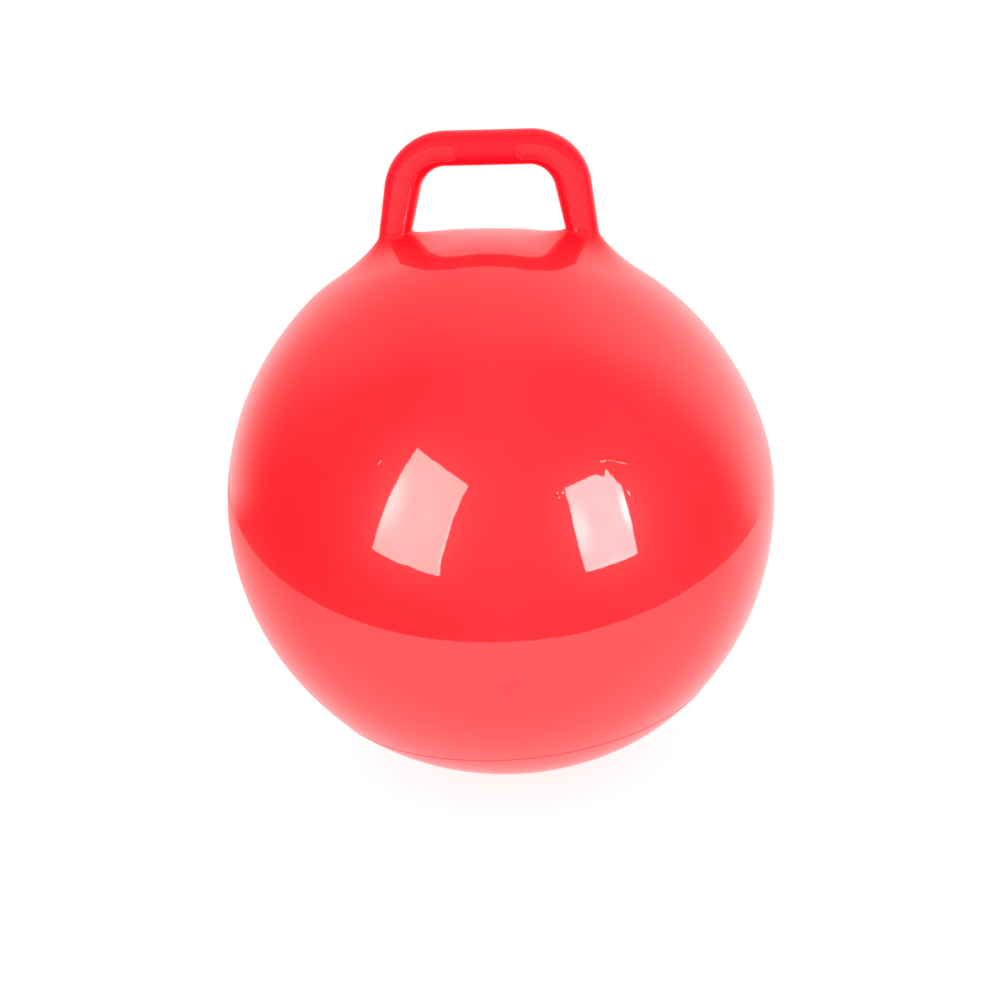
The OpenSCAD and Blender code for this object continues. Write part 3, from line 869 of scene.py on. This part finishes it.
class HOPPER_OT_studio(bpy.types.Operator):
    """Makes the camera, the white table top, the studio that the skin mirrors, and the lamps"""
    bl_idname = "hopper_ball.studio"
    bl_label = "Camera and studio"

    def turned(self, point):
        """A point of the studio, turned with the camera round the ball."""
        return Quaternion((0, 0, 1), self.turn) @ Vector(point)

    def stage_piece(self, mesh, material, only_mirrored=True):
        """Adds a piece of the studio, turned with it. As a rule only mirrors show it."""
        mesh.materials.append(material)
        piece = add_object(mesh.name, mesh)
        piece.rotation_euler[2] = self.turn
        if only_mirrored:
            for way in ("camera", "diffuse", "transmission", "volume_scatter", "shadow"):
                setattr(piece, "visible_" + way, False)

    def flat_mesh(self, name, corners):
        mesh = bpy.data.meshes.new(name)
        mesh.from_pydata(corners, [], [list(range(len(corners)))])
        return mesh

    def camera(self, scene, studio, centre, radius):
        """The camera, whose lens gives the ball its width in the picture."""
        data = bpy.data.cameras.new("camera")
        camera = add_object("camera", data)
        scene.camera = camera
        level = math.cos(studio.elevation)
        back = self.turned((0, -level, math.sin(studio.elevation)))
        camera.location = centre + studio.distance * back
        aim = (-back).to_track_quat("-Z", "Y") @ Quaternion((0, 0, 1), -studio.roll)
        camera.rotation_mode = "QUATERNION"
        camera.rotation_quaternion = aim
        half_angle = math.asin(radius / studio.distance)
        data.sensor_width = 36
        data.lens = studio.ball_across / 2 / math.tan(half_angle) / studio.picture * data.sensor_width
        data.shift_x = -studio.offset_right / studio.picture
        data.shift_y = studio.offset_down / studio.picture

    def shown(self, tree):
        """1 where a surface is seen, also in a mirror or through glass, and 0 where it lights the ball."""
        path = add_node(tree, "LightPath").outputs
        seen = path["Is Camera Ray"]
        for way in ("Is Glossy Ray", "Is Transmission Ray"):
            seen = add_node(tree, "Math", {0: seen, 1: path[way]}, operation="MAXIMUM")
        return seen

    def table(self, studio):
        """White oval table top, on which the ball stands."""
        count = 180
        turns = np.arange(count) * 2.0 * math.pi / count
        rights = studio.table_width / 2 * np.cos(turns) + studio.table_right
        backs = studio.table_length / 2 * np.sin(turns) + studio.table_back
        outline = [(x, y, 0.0) for x, y in zip(rights, backs)]
        material = new_material("table_paper_white")
        tree = material.node_tree
        # Light that reaches the ball comes from plain white paper. What is seen is lifted to white, but for
        # the shadow. The skin mirrors it less white, brighter at its front edge and dimmer at the left, and
        # reddened by the light of the ball
        paper = add_node(tree, "BsdfDiffuse", {"Color": [0.9, 0.9, 0.9, 1.0]})
        shadow = add_node(tree, "BsdfDiffuse", {"Color": [0.3, 0.31, 0.31, 1.0]})
        place = add_node(tree, "TexCoord").outputs["Object"]
        right, back, _ = add_node(tree, "SeparateXYZ", {0: place}).outputs
        slant = add_node(tree, "Math", {0: back, 1: -0.5, 2: right}, operation="MULTIPLY_ADD")
        level = add_node(tree, "MapRange", {0: slant, 1: -1.1, 2: 0.0, 3: 0.06, 4: 0.5})
        front = add_node(tree, "MapRange", {0: back, 1: -0.45, 2: -0.12, 3: 0.7, 4: 0.0})
        level = add_node(tree, "Math", {0: level, 1: front}, operation="ADD")
        mirrored = add_node(tree, "LightPath").outputs["Is Glossy Ray"]
        lift = add_node(tree, "MapRange", {0: mirrored, 3: 0.84, 4: level})
        red = add_node(tree, "Math", {0: lift, 1: mirrored}, operation="MAXIMUM")
        tint = add_node(tree, "CombineColor", {"Red": red, "Green": lift, "Blue": lift})
        glow = add_node(tree, "Emission", {"Color": tint})
        lifted = add_node(tree, "AddShader", {0: shadow, 1: glow})
        both = add_node(tree, "MixShader", {0: self.shown(tree), 1: paper, 2: lifted})
        close_material(material, both)
        self.stage_piece(self.flat_mesh("table_top", outline), material, only_mirrored=False)

    def wall_ramp(self, tree, value, levels):
        """Brightness of the walls or cards, from the left of the studio to its right."""
        node = add_node(tree, "ValToRGB", {0: value})
        stops = node.color_ramp.elements
        for _ in levels[2:]:
            stops.new(0.5)
        for stop, (position, level) in zip(stops, levels):
            stop.position = position
            stop.color = (level, level, level, 1.0)
        return node

    def reddened(self, tree, level):
        """Closes the material of walls or cards of a brightness, which the ball's own light reddens."""
        tint = add_node(tree, "CombineColor", {"Red": 1.0, "Green": level, "Blue": level})
        glow = add_node(tree, "Emission", {"Color": tint})
        add_node(tree, "OutputMaterial", {"Surface": glow})

    def room(self):
        """The dim studio round the table: dark at the left, paler behind the ball."""
        mesh = bpy.data.meshes.new("studio_room")
        shell = bmesh.new()
        bmesh.ops.create_uvsphere(shell, u_segments=48, v_segments=24, radius=ROOM_RADIUS)
        shell.to_mesh(mesh)
        shell.free()
        material = new_material("studio_dim_walls")
        tree = material.node_tree
        place = add_node(tree, "TexCoord").outputs["Object"]
        way = add_node(tree, "VectorMath", {0: place}, operation="NORMALIZE")
        right, back, up = add_node(tree, "SeparateXYZ", {0: way}).outputs
        sideways = add_node(tree, "MapRange", {0: right, 1: -1.0, 2: 1.0})
        front_walls = self.wall_ramp(tree, sideways, FRONT_WALLS)
        back_walls = self.wall_ramp(tree, sideways, BACK_WALLS)
        # The floor of the studio, lower than the table, is dark behind the ball and reaches higher on the
        # left. The wall on the left is dimmer high up
        floor_line = add_node(tree, "Math", {0: back, 1: 0.3, 2: up}, operation="MULTIPLY_ADD")
        floor_line = add_node(tree, "Math", {0: right, 1: 0.07, 2: floor_line}, operation="MULTIPLY_ADD")
        low = add_node(tree, "MapRange", {0: floor_line, 1: -0.045, 2: 0.055, 3: 0.08, 4: 1.0})
        corner = add_node(tree, "Math", {0: right, 1: up}, operation="MULTIPLY")
        high = add_node(tree, "MapRange", {0: corner, 1: -0.4, 2: 0.0, 3: 0.63, 4: 1.0})
        for level in (low, high):
            back_walls = add_node(tree, "Math", {0: back_walls, 1: level}, operation="MULTIPLY")
        rising = add_node(tree, "MapRange", {0: up, 1: -0.5, 2: 0.1, 3: 0.9, 4: 1.05})
        front_walls = add_node(tree, "Math", {0: front_walls, 1: rising}, operation="MULTIPLY")
        behind = add_node(tree, "Math", {0: up, 1: 0.5, 2: back}, operation="MULTIPLY_ADD")
        walls = add_node(tree, "MapRange", {0: behind, 1: 0.12, 2: 0.62, 3: front_walls, 4: back_walls},
                         interpolation_type="SMOOTHSTEP")
        self.reddened(tree, walls)
        self.stage_piece(mesh, material)

    def cards(self):
        """Two dim cards beside the windows, which keep their glare off the far sides of the ball."""
        material = new_material("studio_dim_cards")
        tree = material.node_tree
        place = add_node(tree, "TexCoord").outputs["Object"]
        right, _, up = add_node(tree, "SeparateXYZ", {0: place}).outputs
        sideways = add_node(tree, "MapRange", {0: right, 1: -0.65, 2: 0.65})
        # Each card is as bright as the wall that it hides, which is paler higher up
        level = self.wall_ramp(tree, sideways, CARD_LEVELS)
        level = add_node(tree, "Math", {0: up, 1: 0.2, 2: level}, operation="MULTIPLY_ADD")
        level = add_node(tree, "Math", {0: level, 1: 0.06}, operation="SUBTRACT")
        self.reddened(tree, level)
        for name, corners in CARDS.items():
            self.stage_piece(self.flat_mesh(name, [(x, CARD_Y, z) for x, z in corners]), material)

    def pane_mesh(self, name, top, bottom, bows):
        """A window between its top and its bottom edge. Its left and right edges bow by the given amounts."""
        count = 25
        steps = np.linspace(0.0, 1.0, count)
        high, low = (np.stack([np.interp(steps, np.linspace(0.0, 1.0, len(edge)), axis)
                               for axis in np.transpose(edge)], axis=1) for edge in (top, bottom))
        bow = np.interp(steps, (0.0, 1.0), bows)
        points = [(1.0 - v) * start + v * end + [4.0 * v * (1.0 - v) * out, 0.0, 0.0]
                  for v in steps for out, start, end in zip(bow, low, high)]
        row, column = np.meshgrid(np.arange(count - 1), np.arange(count - 1), indexing="ij")
        first = (row * count + column).reshape(-1)
        faces = np.stack([first, first + 1, first + count + 1, first + count], axis=-1).tolist()
        mesh = bpy.data.meshes.new(name)
        mesh.from_pydata(points, [], faces)
        across = mesh.uv_layers.new(name="across_pane")
        for corner in mesh.loops:
            column, row = corner.vertex_index % count, corner.vertex_index // count
            across.uv[corner.index].vector = (steps[column], steps[row])
        return mesh

    def window_glow(self, name, tint, level, hot_spots):
        """A bright window that the skin mirrors, a little cloudy and with soft hot spots."""
        material = new_material(name)
        tree = material.node_tree
        place = add_node(tree, "TexCoord").outputs["UV"]
        brightness = add_node(tree, "TexNoise", {"Vector": place, "Scale": 3.0, "Detail": 1.0})
        brightness = add_node(tree, "MapRange", {0: brightness, 1: 0.3, 2: 0.7, 3: 0.96, 4: 1.04})
        for (u, v), (wide, high), gain in hot_spots:
            spot = add_node(tree, "Mapping", {
                "Vector": place, "Location": (-u / wide, -v / high, 0.0), "Scale": (1 / wide, 1 / high, 0.0)})
            far = add_node(tree, "VectorMath", {0: spot}, operation="LENGTH").outputs["Value"]
            gain = add_node(tree, "MapRange", {0: far, 1: 0.0, 2: 1.0, 3: gain, 4: 0.0},
                            interpolation_type="SMOOTHERSTEP")
            brightness = add_node(tree, "Math", {0: brightness, 1: gain}, operation="ADD")
        power = add_node(tree, "Math", {0: brightness, 1: level}, operation="MULTIPLY")
        glow = add_node(tree, "Emission", {"Color": linear(tint), "Strength": power})
        return close_material(material, glow)

    def window_lamp(self, name, edges, power):
        """A soft lamp at a window, which lights the ball without a reflection of its own."""
        data = bpy.data.lights.new(name, "AREA")
        data.energy = power
        data.size = LAMP_SIZE
        lamp = add_object(name, data)
        middle = self.turned(np.mean([np.mean(edge, axis=0) for edge in edges], axis=0))
        lamp.location = middle
        lamp.rotation_mode = "QUATERNION"
        lamp.rotation_quaternion = (Vector(LAMP_AIM) - middle).to_track_quat("-Z", "Y")
        lamp.visible_glossy = False
        lamp.visible_camera = False

    def world(self, scene, studio):
        """Even light from all round on the ball, and white where the camera sees past the studio."""
        world = bpy.data.worlds.new("studio_white")
        world.use_nodes = True
        scene.world = world
        tree = world.node_tree
        tree.nodes.clear()
        even = add_node(tree, "Background", {"Color": [1.0, 1.0, 1.0, 1.0], "Strength": studio.fill})
        white = add_node(tree, "Background", {"Color": [1.0, 1.0, 1.0, 1.0], "Strength": 1.0})
        both = add_node(tree, "MixShader", {0: self.shown(tree), 1: even, 2: white})
        add_node(tree, "OutputWorld", {"Surface": both})

    def execute(self, context):
        scene = context.scene
        studio = scene.hopper_studio
        self.turn = studio.turn
        ball = BallForm(scene.hopper_ball)
        self.camera(scene, studio, Vector((0, 0, ball.centre_height)), ball.radius)
        self.table(studio)
        self.room()
        self.cards()
        for name, (top, bottom, bows, tint, gain, hot_spots) in WINDOWS.items():
            edges = [[(x, WINDOW_Y, z) for x, z in edge] for edge in (top, bottom)]
            glow = self.window_glow(name + "_glow", tint, gain * studio.window, hot_spots)
            self.stage_piece(self.pane_mesh(name, *edges, bows), glow)
            self.window_lamp(name + "_lamp", edges, studio.lamp)
        self.world(scene, studio)
        scene.view_settings.view_transform = "Standard"
        return {"FINISHED"}


class HOPPER_PT_panel(bpy.types.Panel):
    """Lists the steps and the sizes"""
    bl_idname = "HOPPER_PT_panel"
    bl_label = "Hopper Ball"
    bl_space_type = "VIEW_3D"
    bl_region_type = "UI"
    bl_category = "Hopper Ball"

    def draw(self, context):
        column = self.layout.column()
        for operator in OPERATORS:
            column.operator(operator.bl_idname)
        for group in GROUPS:
            column.label(text=group)
            settings = getattr(context.scene, group)
            for name in settings.bl_rna.properties.keys():
                if name not in ("name", "rna_type"):
                    column.prop(settings, name)


OPERATORS = (HOPPER_OT_studio, HOPPER_OT_finishes, HOPPER_OT_ball, HOPPER_OT_handle)
GROUPS = {
    "hopper_ball": BallSizes,
    "hopper_handle": HandleSizes,
    "hopper_grips": GripSizes,
    "hopper_finishes": Finishes,
    "hopper_studio": StudioSizes,
}


def register():
    for cls in (*GROUPS.values(), *OPERATORS, HOPPER_PT_panel):
        bpy.utils.register_class(cls)
    for name, group in GROUPS.items():
        setattr(bpy.types.Scene, name, bpy.props.PointerProperty(type=group))


def unregister():
    for name in GROUPS:
        delattr(bpy.types.Scene, name)
    for cls in (HOPPER_PT_panel, *OPERATORS[::-1], *GROUPS.values()):
        bpy.utils.unregister_class(cls)


def main():
    register()
    bpy.ops.hopper_ball.studio()
    bpy.ops.hopper_ball.finishes()
    bpy.ops.hopper_ball.ball()
    bpy.ops.hopper_ball.handle()


if __name__ == "__main__":
    main()
